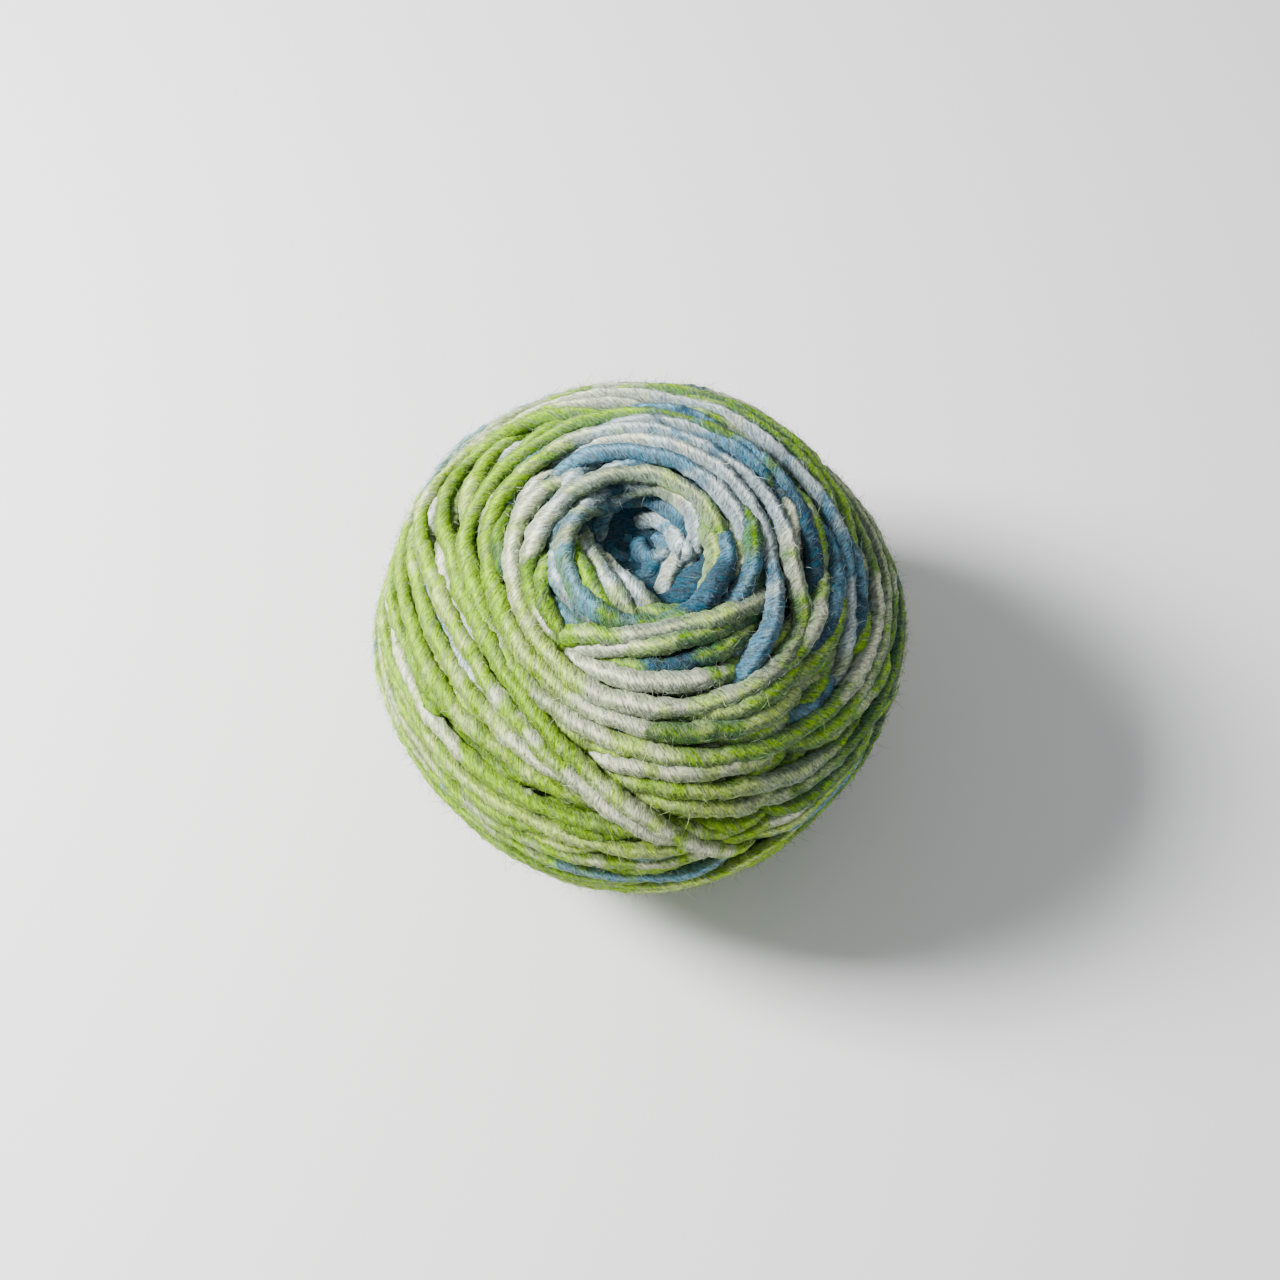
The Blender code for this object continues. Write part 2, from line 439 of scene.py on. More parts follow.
def strand_rings(ways, depths):
    """The vertices of a strand, a ring of SIDES round each point of its path: the top way
    and the side way times the sine and cosine of each angle, times the ply outline turned
    by the twist. The ends round off, and nothing goes below the resting plane. It also
    gives the unrolled fibre coordinates (run, and the twisted angle's cosine and sine),
    the middle line, the twisted angles, and the angle of the lit ridge, which faces out
    and a little up and is kept free of painted flank shade."""
    normals = outward(ways)
    middle = form(ways) - normals * (YARN_RADIUS * YARN_FLAT + depths)[:, None]
    middle = middle + funnel(ways)
    middle[:, 2] = np.maximum(middle[:, 2], YARN_RADIUS * YARN_FLAT * PRESSED)
    count = len(middle)
    ahead = np.gradient(middle, axis=0)
    ahead /= np.linalg.norm(ahead, axis=1, keepdims=True)
    side = np.cross(ahead, normals)
    side /= np.linalg.norm(side, axis=1, keepdims=True)
    top = np.cross(side, ahead)
    middle = middle + side * wander(count, *SIDE_SWAY)[:, None]
    run = np.arange(count) * STEP
    angle = np.linspace(0, math.tau, SIDES, endpoint=False)
    twist = run / PLY_PITCH * math.tau + wander(count, *TWIST_SWAY)
    around = angle[None] + twist[:, None]
    outline = ply_outline(around)
    thick = YARN_RADIUS * (1 + wander(count, *LONG_SWELLS) + wander(count, *SHORT_SWELLS))
    from_end = np.minimum(run, run[::-1]) / TIP_LENGTH
    thick = thick * np.sqrt(np.clip(1 - (1 - np.clip(from_end, 0, 1)) ** 2, TIP_LEAST, 1))
    radius = outline * thick[:, None]
    radius = radius * (1 + chance.uniform(-FUZZ_RELIEF, FUZZ_RELIEF, radius.shape))
    rings = (middle[:, None]
             + side[:, None] * (np.cos(angle) * radius * YARN_WIDE)[..., None]
             + top[:, None] * (np.sin(angle) * radius * YARN_FLAT)[..., None])
    rings[..., 2] = np.maximum(rings[..., 2], 0.0)
    fibre = np.stack([np.broadcast_to(run[:, None], outline.shape),
                      np.cos(around) * YARN_RADIUS, np.sin(around) * YARN_RADIUS], -1)
    # Painted light: the ridge that faces out and a little up, as if lit from above, keeps its
    # dye, and the painted shade grows away from it.
    lit_way = normals + np.array([0, 0, LIT_RIDGE_LIFT])
    lit_facing = np.arctan2((lit_way * top).sum(1), (lit_way * side).sum(1))
    return rings, fibre, middle, around, lit_facing


def shaded_strand_colours(ways, depths, words, shares, around, lit_facing):
    """The colour of each vertex: its dye, with painted light and shade. The plies change dye
    at different places, so the share sways with the sine of the twisted angle and of twice
    that angle. The share of painted shade colour is 1 - (1 - groove)(1 - sunk), where the
    groove shade is painted from the lit ridge down the flanks and the sunk shade is painted
    more the deeper the strand lies."""
    count = len(ways)
    angle = np.linspace(0, math.tau, SIDES, endpoint=False)[None] - lit_facing[:, None]
    once, twice = PLY_DYE_SHIFTS
    phase = wander(count, *PLY_DYE_SWAY)[:, None]
    sway = once * np.sin(around) + twice * np.sin(2 * around + phase)
    dyes = dye_of(words, shares[:, None] + sway)
    # Painted shade: the flanks away from the lit ridge, and the strands that lie deep, are
    # darkened towards the shade colour.
    flank_shade = ramp(np.abs(np.sin(angle)), 0.0, LIT_RIDGE_HALF)
    groove_shade = FLANK_SHADE * np.where(np.cos(angle) > 0, flank_shade, 1)
    sunk_shade = SUNK_SHADE * ramp(depths, SUNK_FROM, SUNK_FULL)[:, None]
    share = (1 - (1 - groove_shade) * (1 - sunk_shade))[..., None]
    deep = dyes * (1 - SHADE_MIX) + painted_groove_shade(ways)[:, None] * SHADE_MIX
    return dyes * (1 - share) + deep * share


OUTER_DEPTH = 2.4 * MM
FIBRE_SHIFT = 50
skin = []


def remember_skin(shell, middle, colours, depths):
    """Keeps the upper half of the outer strands, as (place, way out, colour with its painted
    shade), for the loose fibres to grow from."""
    upper = slice(1, SIDES // 2)
    outer = depths < OUTER_DEPTH
    places = shell[outer, upper]
    ways_out = places - middle[outer, None]
    skin.append(np.concatenate([places, ways_out, colours[outer, upper]], -1).reshape(-1, 9))


def add_mesh(name, places, quads, triangles):
    """A smooth mesh from its places and its faces. All the corners go in one row, first
    of the quads and then of the triangles, with the place where each face starts."""
    corners = np.concatenate([quads.ravel(), triangles.ravel()])
    starts = np.concatenate([np.arange(0, quads.size, 4),
                             quads.size + np.arange(0, triangles.size, 3)])
    mesh = bpy.data.meshes.new(name)
    mesh.vertices.add(len(places))
    mesh.vertices.foreach_set("co", places.astype(np.float32).ravel())
    mesh.loops.add(len(corners))
    mesh.loops.foreach_set("vertex_index", corners.astype(np.int32))
    mesh.polygons.add(len(starts))
    mesh.polygons.foreach_set("loop_start", starts.astype(np.int32))
    mesh.update(calc_edges=True)
    mesh.validate()
    mesh.shade_smooth()
    return mesh


def finish_piece(mesh, colours, material):
    """Colours a mesh at each vertex, dye and painted light and shade together, and adds it to
    the scene as a piece of the ball.
    """
    dye = mesh.attributes.new("dye", "FLOAT_COLOR", "POINT")
    solid = np.ones((len(colours), 4), np.float32)
    solid[:, :3] = colours
    dye.data.foreach_set("color", solid.ravel())
    mesh.materials.append(material)
    piece = bpy.data.objects.new(mesh.name, mesh)
    bpy.context.scene.collection.objects.link(piece)
    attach(piece, "root")
    return piece


def set_fibres(mesh, fibres):
    """Stores where each vertex lies along and round its own fibres, for the material."""
    fibre = mesh.attributes.new("fibre", "FLOAT_VECTOR", "POINT")
    fibre.data.foreach_set("vector", fibres.astype(np.float32).ravel())


def tube_faces(base, count):
    """The faces of a tube whose vertices start at base: quads between its rings, and a
    fan from each end ring to a pole. The two poles come after the rings."""
    this = np.arange(SIDES)
    following = (this + 1) % SIDES
    ring = base + np.arange(count - 1)[:, None] * SIDES
    quads = np.stack([ring + this, ring + following, ring + SIDES + following,
                      ring + SIDES + this], -1).reshape(-1, 4)
    last_ring = base + (count - 1) * SIDES
    near_pole = np.full(SIDES, base + count * SIDES)
    near_fan = np.stack([base + following, base + this, near_pole], -1)
    far_fan = np.stack([last_ring + this, last_ring + following, near_pole + 1], -1)
    return quads, [near_fan, far_fan]


def make_yarn(name, strands, material):
    """One mesh of many strands, each a closed tube. It carries the dye with its painted light
    and shade, the unrolled fibre coordinates, and a map that lays the strands side by side in
    rows."""
    rings, fibres, dyes, quads, fans, slots = [], [], [], [], [], []
    base = 0
    slot_now = 0
    for ways, depths, words, shares in strands:
        for first, last in showing_runs(depths):
            part = slice(first, last)
            shell, fibre, middle, around, lit_facing = strand_rings(ways[part], depths[part])
            colours = shaded_strand_colours(ways[part], depths[part], words, shares[part], around,
                                  lit_facing)
            remember_skin(shell, middle, colours, depths[part])
            count = last - first
            fibre[..., 0] += chance.uniform(0, FIBRE_SHIFT)
            rings += [shell.reshape(-1, 3), middle[:1], middle[-1:]]
            fibres += [fibre.reshape(-1, 3), fibre[0, :1], fibre[-1, :1]]
            # These colours hold the dye with its painted light and shade.
            dyes += [colours.reshape(-1, 3), colours[0, :1], colours[-1, :1]]
            tube, ends = tube_faces(base, count)
            quads.append(tube)
            fans += ends
            slots.append((slot_now, count))
            slot_now += count + 1
            base += count * SIDES + 2
    mesh = add_mesh(name, np.concatenate(rings), np.concatenate(quads), np.concatenate(fans))
    set_fibres(mesh, np.concatenate(fibres))
    lay_map(mesh, slots, slot_now)
    return finish_piece(mesh, np.concatenate(dyes), material)


MAP_LENGTHWISE = 1.25
MAP_LOW, MAP_HIGH = 0.1, 0.9


def lay_map(mesh, slots, total):
    """The flat map: every ring-to-ring band is one slot, and the slots fill rows from left
    to right. A band's corners lie one over the other, between the row's low and high
    edge, and each end's fan has half a slot of its own."""
    girth = math.tau * YARN_RADIUS
    rows = max(1, round(math.sqrt(total * STEP / (girth * MAP_LENGTHWISE))))
    per_row = math.ceil(total / rows)
    edges = MAP_LOW + (MAP_HIGH - MAP_LOW) * np.arange(SIDES + 1) / SIDES
    across = np.ones(SIDES)
    quad_maps, fan_maps = [], []
    for first, count in slots:
        band = first + 1 + np.arange(count - 1)
        row, column = band // per_row, band % per_row
        left = (column / per_row)[:, None] * across
        right = ((column + 1) / per_row)[:, None] * across
        under = (row[:, None] + edges[:-1]) / rows
        over = (row[:, None] + edges[1:]) / rows
        quad_maps.append(np.stack([np.stack([left, under], -1), np.stack([left, over], -1),
                                   np.stack([right, over], -1), np.stack([right, under], -1)],
                                  2).reshape(-1, 2))
        for is_far, band in enumerate((first, first + count)):
            row, column = band // per_row, band % per_row
            ring_at = (column + 1 - is_far) / per_row * across
            pole_at = (column + 0.5) / per_row * across
            under, over = (row + edges[:-1]) / rows, (row + edges[1:]) / rows
            ring_low, ring_high = np.stack([ring_at, under], -1), np.stack([ring_at, over], -1)
            pole = np.stack([pole_at, (under + over) / 2], -1)
            ring_corners = [ring_low, ring_high] if is_far else [ring_high, ring_low]
            fan_maps.append(np.stack(ring_corners + [pole], 1).reshape(-1, 2))
    set_map(mesh, np.concatenate(quad_maps + fan_maps))


def set_map(mesh, corners):
    """Stores the flat map, one point for each corner of each face."""
    flat = mesh.uv_layers.new(name="OFBake")
    flat.data.foreach_set("uv", corners.astype(np.float32).ravel())


def add_node(tree, kind, **values):
    """A shader node with its named inputs set, or joined where the value is a socket."""
    node = tree.nodes.new(kind)
    for name, value in values.items():
        socket = node.inputs[name.replace("_", " ")]
        if isinstance(value, bpy.types.NodeSocket):
            tree.links.new(value, socket)
        else:
            socket.default_value = value
    return node


def spread_noise(tree, noise, values, wanted):
    """A noise whose values, from low to high, are drawn out to the wanted low and high in
    a straight line."""
    spread = tree.nodes.new("ShaderNodeMapRange")
    tree.links.new(noise.outputs["Fac"], spread.inputs["Value"])
    names = ("From Min", "From Max", "To Min", "To Max")
    for name, value in zip(names, values + wanted):
        spread.inputs[name].default_value = value
    return spread.outputs["Result"]


def multiply_colour(tree, colour, factor):
    """A colour times a factor."""
    mix = tree.nodes.new("ShaderNodeMix")
    mix.data_type = "RGBA"
    mix.blend_type = "MULTIPLY"
    mix.inputs[0].default_value = 1.0
    tree.links.new(colour, mix.inputs[6])
    tree.links.new(factor, mix.inputs[7])
    return mix.outputs[2]


def along_fibres(tree, scale, detail, roughness):
    """Noise on the unrolled fibre coordinates, finer across the fibres than along them."""
    fibre = tree.nodes.new("ShaderNodeAttribute")
    fibre.attribute_name = "fibre"
    drawn = tree.nodes.new("ShaderNodeVectorMath")
    drawn.operation = "MULTIPLY"
    tree.links.new(fibre.outputs["Vector"], drawn.inputs[0])
    drawn.inputs[1].default_value = scale
    return add_node(tree, "ShaderNodeTexNoise", Vector=drawn.outputs[0], Scale=1.0,
                    Detail=detail, Roughness=roughness)


# How fine the fibres and the broader streaks are, in waves a metre along and across, what
# range the noise takes, and how far it darkens or lightens the dye. The fibres stand up
# by FIBRE_HEIGHT, and light passes LIGHT_REACH into the wool.
FINE_FIBRES = (1100, 2300, 2300)
FINE_RANGE, FINE_SHADES = (0.3, 0.7), (0.36, 1.62)
BROAD_FIBRES = (260, 1100, 1100)
BROAD_RANGE, BROAD_SHADES = (0.35, 0.65), (0.8, 1.15)
FIBRE_HEIGHT = 0.6 * MM
FIBRE_STRENGTH = 0.9
LIGHT_REACH = 1.2 * MM
WOOL_ROUGHNESS = 0.62
WOOL_GLOSS = 0.15


def make_dyed(name):
    """A material whose colour is each vertex's colour, dye with painted light and shade:
    (material, socket of that colour).
    """
    material = bpy.data.materials.new(name)
    material.use_nodes = True
    dye = material.node_tree.nodes.new("ShaderNodeAttribute")
    dye.attribute_name = "dye"
    return material, dye.outputs["Color"]


def make_wool(name):
    """Soft dyed wool. Fine noise, drawn out along the twisted fibres, mottles the dye and
    raises the fibres, and broader noise varies how light and how strong the dye is."""
    material, dye = make_dyed(name)
    tree = material.node_tree
    shader = tree.nodes["Principled BSDF"]
    fine = along_fibres(tree, FINE_FIBRES, detail=3.0, roughness=0.6)
    broad = along_fibres(tree, BROAD_FIBRES, detail=2.0, roughness=0.5)
    patch = along_fibres(tree, BROAD_FIBRES, detail=1.0, roughness=0.5)
    shaded = multiply_colour(tree, dye, spread_noise(tree, fine, FINE_RANGE, FINE_SHADES))
    mottled = multiply_colour(tree, shaded,
                              spread_noise(tree, broad, BROAD_RANGE, BROAD_SHADES))
    tint = add_node(tree, "ShaderNodeHueSaturation", Color=mottled,
                    Saturation=spread_noise(tree, patch, BROAD_RANGE, BROAD_SHADES))
    tree.links.new(tint.outputs["Color"], shader.inputs["Base Color"])
    bump = add_node(tree, "ShaderNodeBump", Height=fine.outputs["Fac"],
                    Strength=FIBRE_STRENGTH, Distance=FIBRE_HEIGHT)
    tree.links.new(bump.outputs["Normal"], shader.inputs["Normal"])
    shader.inputs["Roughness"].default_value = WOOL_ROUGHNESS
    shader.inputs["Subsurface Weight"].default_value = 0.5
    shader.inputs["Subsurface Radius"].default_value = (1.0, 1.0, 0.5)
    shader.inputs["Subsurface Scale"].default_value = LIGHT_REACH
    shader.inputs["Specular IOR Level"].default_value = WOOL_GLOSS
    return material


wool = make_wool("dyed wool")
diagonals = make_yarn("left_diagonals", lay_turns(LEFT_DIAGONALS), wool)
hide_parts("yarn_ball")

# The falls on the lower right.
# Turns that come round the far right side and pass under the front, over the ends of
# the arcs that cross there.
RIGHT_FALLS = {
    "deep blue fall": (23, -26, 34.0, -86, 60, 0, "green blue blue navy blue navy blue", False),
    "outer right fall": (19, -3, 49.3, -80, 75, 0, "lime lime grey grey grey", False),
    "edge right fall": (12, 4, 67.1, -80, 80, 0, "grey green green navy grey", False),
}
make_yarn("right_falls", lay_turns(RIGHT_FALLS), wool)

# The rose.
# One long thread that winds outwards round the mouth, down the left, across the front
# and up the right, and the arcs that cross the front below it.
ROSE = {
    "white left ring": (10, 179, 17.0, 50, 180, 0, "grey pale white white", True),
    "white fall": (8, -42, 34.0, -183, -12, 0, "pale pale white white pale grey lime white",
                   True),
    "inner shoulder": (8, -103, 35.3, -12, 170, 0,
                       "ice ice blue ice pale lime lime lime", True),
    "second fall": (10, -8, 42.9, -180, -20, 0, "lime pale white white green pale pale white",
                    False),
    "lime over shoulder": (7, -98, 41.4, -38, 170, 0,
                           "blue navy navy blue green lime lime lime lime lime", True),
    "third fall": (13, 6, 51.0, -178, 0, 0,
                   "grey white pale lime lime white white green lime", True),
    "rim sweep": (3, -151, 62.2, 8, 170, 0, "grey grey navy grey grey blue grey", False),
    "upper front arc": (19, 70, 68.0, -118, -10, 0, "pale lime white pale lime grey", False),
    "lower front arc": (22, 67, 72.9, -118, 0, 0, "white white pale white lime green", False),
    "next front arc": (22, 53, 74.7, -115, 0, 0, "pale lime pale grey lime lime green", False),
    "lower right arc": (21, -11, 57.9, -122, 5, 0, "lime pale grey lime grey grey", False),
    "foot right arc": (23, -29, 58.6, -107, 15, 0, "lime lime green grey grey", False),
}
make_yarn("rose", lay_turns(ROSE), wool)

# The crown rings and the bridges.
# Turns close round the mouth, over the top and down the right, and the arcs that cross
# in front of the mouth, over the ends of the rings.
CROWN_RINGS = {
    "white round shoulder": (12, -118, 34.5, -64, 135, 0,
                             "blue blue blue ice ice ice white ice blue", False),
    "blue crown arc": (12, -120, 30.4, -18, 142, 0,
                       "blue ice ice ice blue blue blue blue navy", False),
    "grey crown ring": (7, -107, 21.4, -36, 178, 0,
                        "pale pale lime pale grey grey grey ice white", True),
    "left inner fall": (11, -30, 34.1, -182, -112, 0, "green lime white lime pale", False),
    "bridge": (33, 99, 55.8, -132, -28, 0,
               "white lime lime white grey pale grey grey grey", False),
    "first front arc": (8, 58, 39.9, -147, 2, 0, "white white white white lime pale white grey",
                        False),
    "blue tinted ring": (8, -112, 21.1, 85, 185, 0, "grey blue blue navy", False),
    "first right fall": (16, -160, 30.8, -34, 50, 0, "pale pale pale lime lime", False),
    "third right fall": (6, -114, 24.2, -40, 60, 0, "pale white pale grey lime", False),
    "low bridge": (23, 101, 48.6, -138, -18, 0,
                   "white white white pale green grey pale", False),
    "under bridge": (2, -2, 29.9, -158, 0, 0.8,
                     "lime green lime navy green pale lime", False),
    "inner left wall": (11, -88, 20.8, 140, 245, 0, "green green lime green", False),
}
make_yarn("crown_rings", lay_turns(CROWN_RINGS), wool)

# Turns that show between the others.
# Short stretches of the next layer, each seen through a gap between the turns above.
GAP_TURNS = {
    "right gap": (16, -156, 50.6, -10, 60, 0, "grey white navy grey", False),
    "navy right gap": (15, -18, 31.7, -60, 44, 0, "navy navy blue navy", False),
    "far right gap": (9, 57, 52.6, -30, 40, 0, "navy grey navy", False),
    "top left gap": (18, -113, 59.7, 70, 150, 0, "grey white pale lime lime", False),
    "under the falls": (20, 11, 59.9, -195, -95, 0, "lime green lime pale lime lime", False),
    "under the long diagonal": (22, -32, 49.6, -145, -45, 0, "white white pale lime", False),
    "beside the long diagonal": (21, -5, 61.8, -128, -60, 0, "pale lime lime", False),
    "front gap": (26, 74, 75.7, -112, -30, 0, "white pale lime lime grey", False),
    "far right arc": (18, 69, 58.1, -85, 0, 0, "white pale grey lime grey", False),
    "low right arc": (18, 62, 61.6, -90, 0, 0, "pale lime grey green green", False),
    "low gap": (11, 16, 76.7, -115, -30, 0, "grey pale grey green", False),
    "lowest gap": (9, -45, 74.2, -110, -45, 0, "grey blue grey", False),
}
make_yarn("gap_turns", lay_turns(GAP_TURNS), wool)

# Inside the mouth.
# Steep turns that drop past the mouth, the white turn that rings it, and the blue
# loops that were left crumpled in the hollow when the winding pin came out.
MOUTH_CONTACT = 1.5 * MM
MOUTH_TURNS = {
    "teal hook": (7, -126, 14.2, 130, 280, 0.3, "navy blue ice blue ice ice", False),
    "lime inner": (32, 23, 47.0, -170, -117, 0, "pale lime lime lime pale", False),
    "lime inner twin": (46, 26, 58.0, -162, -113, 0.2, "ice grey ice pale pale", False),
    "white ring": (2, -83, 12.0, -45, 175, -0.6,
                   "pale ice ice white grey grey ice blue ice", False),
    "left lump": (4, -174, 7.5, 140, 236, 0, "blue ice white ice", True),
    "grey inner": (29, 33, 39.4, -146, -101, 0.4, "grey green grey", False),
    "inner white curl": (3, -97, 8.5, 150, -19, 0.4, "blue ice ice blue ice", True),
    "white hook": (18, -43, 8.4, 90, 240, 0, "ice ice white ice blue", False),
    "pale lump": (18, -86, 4.2, 60, 200, 0.6, "pale lime pale white", False),
    "right blue loop": (18, -54, 4.0, -60, 80, 0.9, "navy blue blue navy", False),
}
make_yarn("mouth_turns", lay_turns(MOUTH_TURNS, MOUTH_CONTACT), wool)

# The crumpled loops.
# Slack blue yarn bunched up in the bottom of the hollow. Its loops are small and lie
# closer together than tight turns do, and their ends tuck in beside them.
CRUMPLE_CONTACT = 1.0 * MM
CRUMPLE_DIVE = 1.0 * MM
CRUMPLED_LOOPS = {
    # Painted shade: navy lies mostly on the left and front loops, the shaded side of the hollow.
    "right loop": (3.8, -40, 2.9, 120, 470, 2.3, "blue blue ice blue", False),
    "back loop": (2.4, 110, 2.9, 60, 400, 2.5, "blue blue navy blue", False),
    "front loop": (7.2, -92, 2.9, 200, 540, 2.7, "navy blue blue navy", False),
    "left loop": (5.0, -160, 2.9, 20, 350, 3.0, "navy navy blue navy", False),
    "middle loop": (3.9, -96, 1.7, 0, 340, 2.6, "blue ice blue", False),
    "under loop": (5.5, -110, 5.0, 0, 340, 3.6, "blue navy blue", False),
}
make_yarn("crumpled_loops", lay_turns(CRUMPLED_LOOPS, CRUMPLE_CONTACT, CRUMPLE_DIVE), wool)

# The rounds.
# The rest of the winding: one long thread for each band, going round and round and
# shifting by its own width each time, while the plane that it lies in slowly turns.
ROUND_COLUMNS = ("lean", "towards", "drift", "first", "last", "spacing", "dyes")
MIXED_DYES = "grey white ice blue ice white pale lime lime lime green lime white lime lime pale"
LIME_DYES = "grey lime pale white ice blue pale lime lime green lime lime pale lime green grey"
LOW_DYES = "grey green lime grey pale lime lime green lime white lime ice blue ice lime grey"
MOUTH_DYES = "navy blue grey blue green navy blue ice"
ROUNDS = {
    "mouth_rounds": (5, -110, 33, 13.5, 33, 3.5, MOUTH_DYES),
    "upper_rounds": (9, -60, 23, 31, 62, 3.6, MIXED_DYES),
    "middle_rounds": (12, 100, 20, 62, 100, 3.2, LIME_DYES),
    "lower_rounds": (10, 20, 24, 100, 140, 3.4, LOW_DYES),
    "foot_rounds": (7, -30, 20, 138, 172, 3.9, LOW_DYES),
}
# The dyes repeat once in each turn, or a little sooner, which pools each of them on one
# side of the ball.
REPEAT_TURNS = 0.995
POINTS_A_TURN = 220
ROUND_DEPTH_SWAY = (90 * MM, 0.7 * MM)
ROUND_LONG_DYE_SWAY = (120 * MM, 0.7)
ROUND_SHORT_DYE_SWAY = (14 * MM, 0.6)


def lay_rounds(row):
    """One thread in many turns: the bearing runs on while the radius widens by a spacing
    and the leaning plane drifts round with every turn."""
    band = dict(zip(ROUND_COLUMNS, row))
    turns = (band["last"] - band["first"]) / band["spacing"]
    turn = np.linspace(0, turns, int(turns * POINTS_A_TURN))
    ways = even_steps(round_the_ball(band["lean"], band["towards"] + band["drift"] * turn,
                                     band["first"] + band["spacing"] * turn, 360 * turn))
    count = len(ways)
    depths = pile.lay(ways, np.abs(wander(count, *ROUND_DEPTH_SWAY)))
    words = band["dyes"].split()
    repeat = np.linspace(0, turns, count) / REPEAT_TURNS
    shares = (repeat * len(words) + wander(count, *ROUND_LONG_DYE_SWAY)
              + wander(count, *ROUND_SHORT_DYE_SWAY)) % len(words)
    return [(ways, depths, words + words[:1], shares)]


for name, row in ROUNDS.items():
    make_yarn(name, lay_rounds(row), wool)

# The under rounds.
# The layer below the rounds, wound in the same way on a different slant. It shows only
# through the gaps between the outer turns.
UNDER_ROUNDS = {
    "upper_under_rounds": (16, 80, -21, 30, 84, 3.6, LIME_DYES),
    "lower_under_rounds": (16, -130, -21, 60, 152, 3.5, LIME_DYES),
}
for name, row in UNDER_ROUNDS.items():
    make_yarn(name, lay_rounds(row), wool)

# The wound mass.
# The yarn below the outer turns, packed so tight that it shows only in the deepest gaps,
# coloured all over with the painted shade colour as a dark mass. It follows the form, and
# dips below the mouth.
MASS_DEPTH = 5.0 * MM
MASS_ROUND, MASS_DOWN = 96, 60


def make_mass(name, material):
    """The form drawn in along its normals by the mass's depth: a grid of ways from pole
    to pole and round the axis, with one vertex at each pole."""
    down = np.linspace(0, math.pi, MASS_DOWN + 1)[1:-1][:, None]
    turn = np.linspace(0, math.tau, MASS_ROUND, endpoint=False)[None]
    ways = np.stack(np.broadcast_arrays(np.sin(down) * np.cos(turn),
                                        np.sin(down) * np.sin(turn), np.cos(down)), -1)
    ways = np.concatenate([ways.reshape(-1, 3), [[0, 0, 1.0], [0, 0, -1.0]]])
    places = form(ways) - outward(ways) * MASS_DEPTH + funnel(ways)
    rows = len(down)
    grid = np.arange(rows * MASS_ROUND).reshape(rows, MASS_ROUND)
    beside = np.roll(grid, -1, axis=1)
    quads = np.stack([grid[:-1], grid[1:], beside[1:], beside[:-1]], -1)
    top = np.full(MASS_ROUND, rows * MASS_ROUND)
    fans = np.concatenate([np.stack([grid[0], beside[0], top], -1),
                           np.stack([beside[-1], grid[-1], top + 1], -1)])
    mesh = add_mesh(name, places, quads, fans)
    set_fibres(mesh, places)
    # Painted shade: the mass takes the dark groove shade colour, not a dye of its own.
    finish_piece(mesh, painted_groove_shade(ways), material)


make_mass("wound_mass", wool)

# The loose fibres.
# Fine hairs worked loose from the outer turns all over the ball: short ones that stand
# up, and longer ones that lie along the yarn and bridge the grooves between its turns.
# Each is a slender three-sided spindle, rooted in its strand and bent to one side.
# The columns are how many there are, the shortest and longest, the radius at the
# middle, how far they stand up from the yarn (0 lies flat), and how far a painted glint
# pales them towards white.
HAIR_COLUMNS = ("count", "shortest", "longest", "radius", "stand", "pale")
HAIRS = {
    "standing_fibres": (26000, 0.6 * MM, 1.7 * MM, 0.028 * MM, 0.40, 0.05),
    "lying_fibres": (33000, 1.2 * MM, 4.2 * MM, 0.036 * MM, 0.06, 0.12),
}
# How much of the stand each hair takes, its bend and droop as shares of its length, and
# how many millimetres its root lies over the yarn's surface, or under it.
STAND_RANGE = (0.5, 2)
HAIR_BEND = 0.3
HAIR_DROOP = 0.15
ROOT_RANGE = (-0.2, 0.15)
HAIR_CORNERS = 5
HAIR_ROUGHNESS = 0.6
HAIR_GLOSS = 0.2
# Each hair's own cell of the flat map: its root, its ring of three and its tip.
HAIR_CELL = np.array([(0.5, 0.1), (0.1, 0.5), (0.5, 0.6), (0.9, 0.5), (0.5, 0.9)])


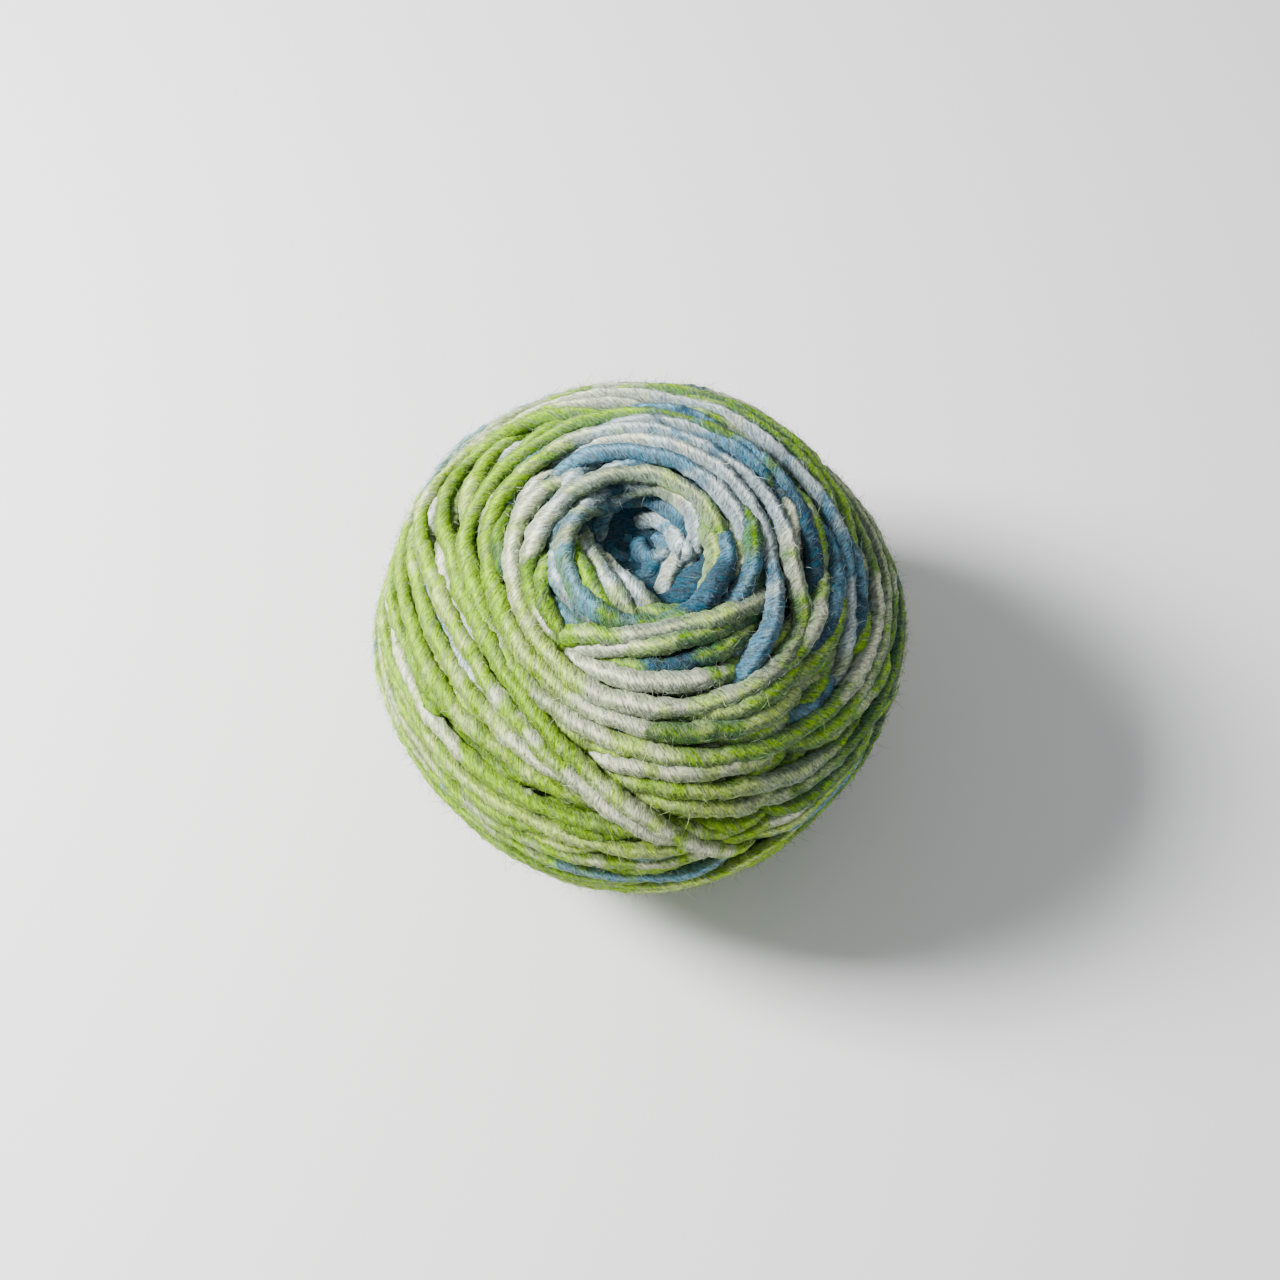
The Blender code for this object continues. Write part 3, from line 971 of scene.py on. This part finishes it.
def make_hairs(name, row, material):
    """Every hair at once. Its middle line is root + way t + bend t^2: one corner at the
    root, three round the middle and one at the tip, joined by six faces."""
    hair = dict(zip(HAIR_COLUMNS, row))
    count = hair["count"]
    samples = np.concatenate(skin)
    samples = samples[chance.choice(len(samples), count, replace=len(samples) < count)]
    root, out, colours = samples[:, :3], samples[:, 3:6], samples[:, 6:]
    out = out / np.linalg.norm(out, axis=1, keepdims=True)
    loose = chance.normal(0, 1, (count, 3))
    level = loose - out * (loose * out).sum(1, keepdims=True)
    level /= np.linalg.norm(level, axis=1, keepdims=True)
    way = level + out * hair["stand"] * chance.uniform(*STAND_RANGE, (count, 1))
    way /= np.linalg.norm(way, axis=1, keepdims=True)
    long = chance.triangular(hair["shortest"], hair["shortest"], hair["longest"], (count, 1))
    bend = chance.normal(0, HAIR_BEND, (count, 3)) * long - out * long * HAIR_DROOP
    root = root + out * chance.uniform(*ROOT_RANGE, (count, 1)) * MM
    across = np.cross(way, out)
    across /= np.linalg.norm(across, axis=1, keepdims=True)
    other = np.cross(way, across)
    corner = np.arange(3) * math.tau / 3
    spread = (np.cos(corner)[None, :, None] * across[:, None]
              + np.sin(corner)[None, :, None] * other[:, None])
    middle = root + way * long / 2 + bend / 4
    ring = middle[:, None] + spread * hair["radius"]
    tip = root + way * long + bend
    places = np.concatenate([root[:, None], ring, tip[:, None]], 1)
    places[..., 2] = np.maximum(places[..., 2], 0)
    this, following = np.arange(1, 4), np.array([2, 3, 1])
    faces = np.concatenate([np.stack([np.zeros(3, int), following, this], -1),
                            np.stack([this, following, np.full(3, 4)], -1)])
    triangles = np.arange(count)[:, None, None] * HAIR_CORNERS + faces[None]
    mesh = add_mesh(name, places.reshape(-1, 3), np.zeros((0, 4), int), triangles)
    cells = math.ceil(math.sqrt(count))
    cell = np.stack([np.arange(count) % cells, np.arange(count) // cells], -1)
    flat = (cell[:, None] + HAIR_CELL[None]) / cells
    set_map(mesh, flat.reshape(-1, 2)[triangles.ravel()])
    # Painted highlight: each hair is paled towards white as a glint.
    glint_paled = colours * (1 - hair["pale"]) + hair["pale"]
    finish_piece(mesh, np.repeat(glint_paled, HAIR_CORNERS, axis=0), material)


def make_hair_wool(name):
    """The same dyed wool, too fine for any noise to show on it."""
    material, dye = make_dyed(name)
    shader = material.node_tree.nodes["Principled BSDF"]
    material.node_tree.links.new(dye, shader.inputs["Base Color"])
    shader.inputs["Roughness"].default_value = HAIR_ROUGHNESS
    shader.inputs["Specular IOR Level"].default_value = HAIR_GLOSS
    return material


hair_wool = make_hair_wool("loose wool")
for name, row in HAIRS.items():
    make_hairs(name, row, hair_wool)

# The floor and the light.
# A plain pale floor, a large soft light from the upper left, and a pale sky.
FLOOR_HALF = 2.0
FLOOR_COLOUR = (0.86, 0.86, 0.85, 1)
FLOOR_ROUGHNESS = 0.9
KEY_PLACE = (-0.46, 0.06, 0.46)
KEY_SIZE = 0.20
KEY_POWER = 14.0
SKY_COLOUR = (0.95, 0.97, 1.0, 1)
SKY_STRENGTH = 0.46
floor_mesh = bpy.data.meshes.new("floor")
floor_mesh.from_pydata([(-FLOOR_HALF, -FLOOR_HALF, 0), (FLOOR_HALF, -FLOOR_HALF, 0),
                        (FLOOR_HALF, FLOOR_HALF, 0), (-FLOOR_HALF, FLOOR_HALF, 0)],
                       [], [(0, 1, 2, 3)])
floor = bpy.data.objects.new("floor", floor_mesh)
bpy.context.scene.collection.objects.link(floor)
floor_material = bpy.data.materials.new("pale floor")
floor_material.use_nodes = True
floor_shader = floor_material.node_tree.nodes["Principled BSDF"]
floor_shader.inputs["Base Color"].default_value = FLOOR_COLOUR
floor_shader.inputs["Roughness"].default_value = FLOOR_ROUGHNESS
floor_mesh.materials.append(floor_material)


def add_light(name, place, size, power):
    """A square soft light that faces the middle of the ball."""
    light = bpy.data.lights.new(name, "AREA")
    light.size = size
    light.energy = power
    lamp = bpy.data.objects.new(name, light)
    bpy.context.scene.collection.objects.link(lamp)
    lamp.location = place
    way = Vector(MIDDLE) - lamp.location
    lamp.rotation_euler = way.to_track_quat("-Z", "Y").to_euler()


add_light("key", KEY_PLACE, KEY_SIZE, KEY_POWER)
world = bpy.data.worlds.new("pale sky")
bpy.context.scene.world = world
world.use_nodes = True
sky = world.node_tree.nodes["Background"]
sky.inputs["Color"].default_value = SKY_COLOUR
sky.inputs["Strength"].default_value = SKY_STRENGTH

# The camera.
# It looks down at the mouth from the front, as if held in the hand. Its height is an angle
# above level, and its lens and sensor are in millimetres.
CAMERA_ABOVE = 64
CAMERA_AWAY = 0.40
AIM_BELOW = 1.2 * MM
SENSOR_WIDTH = 36
LENS_LENGTH = 58.5
camera_data = bpy.data.cameras.new("camera")
camera_data.sensor_width = SENSOR_WIDTH
camera_data.lens = LENS_LENGTH
camera = bpy.data.objects.new("camera", camera_data)
bpy.context.scene.collection.objects.link(camera)
camera.location = (MIDDLE + CAMERA_AWAY * way_to(-90, CAMERA_ABOVE)
                   - AIM_BELOW * way_to(90, 90 - CAMERA_ABOVE))
camera.rotation_euler = (math.radians(90 - CAMERA_ABOVE), 0, 0)
bpy.context.scene.camera = camera
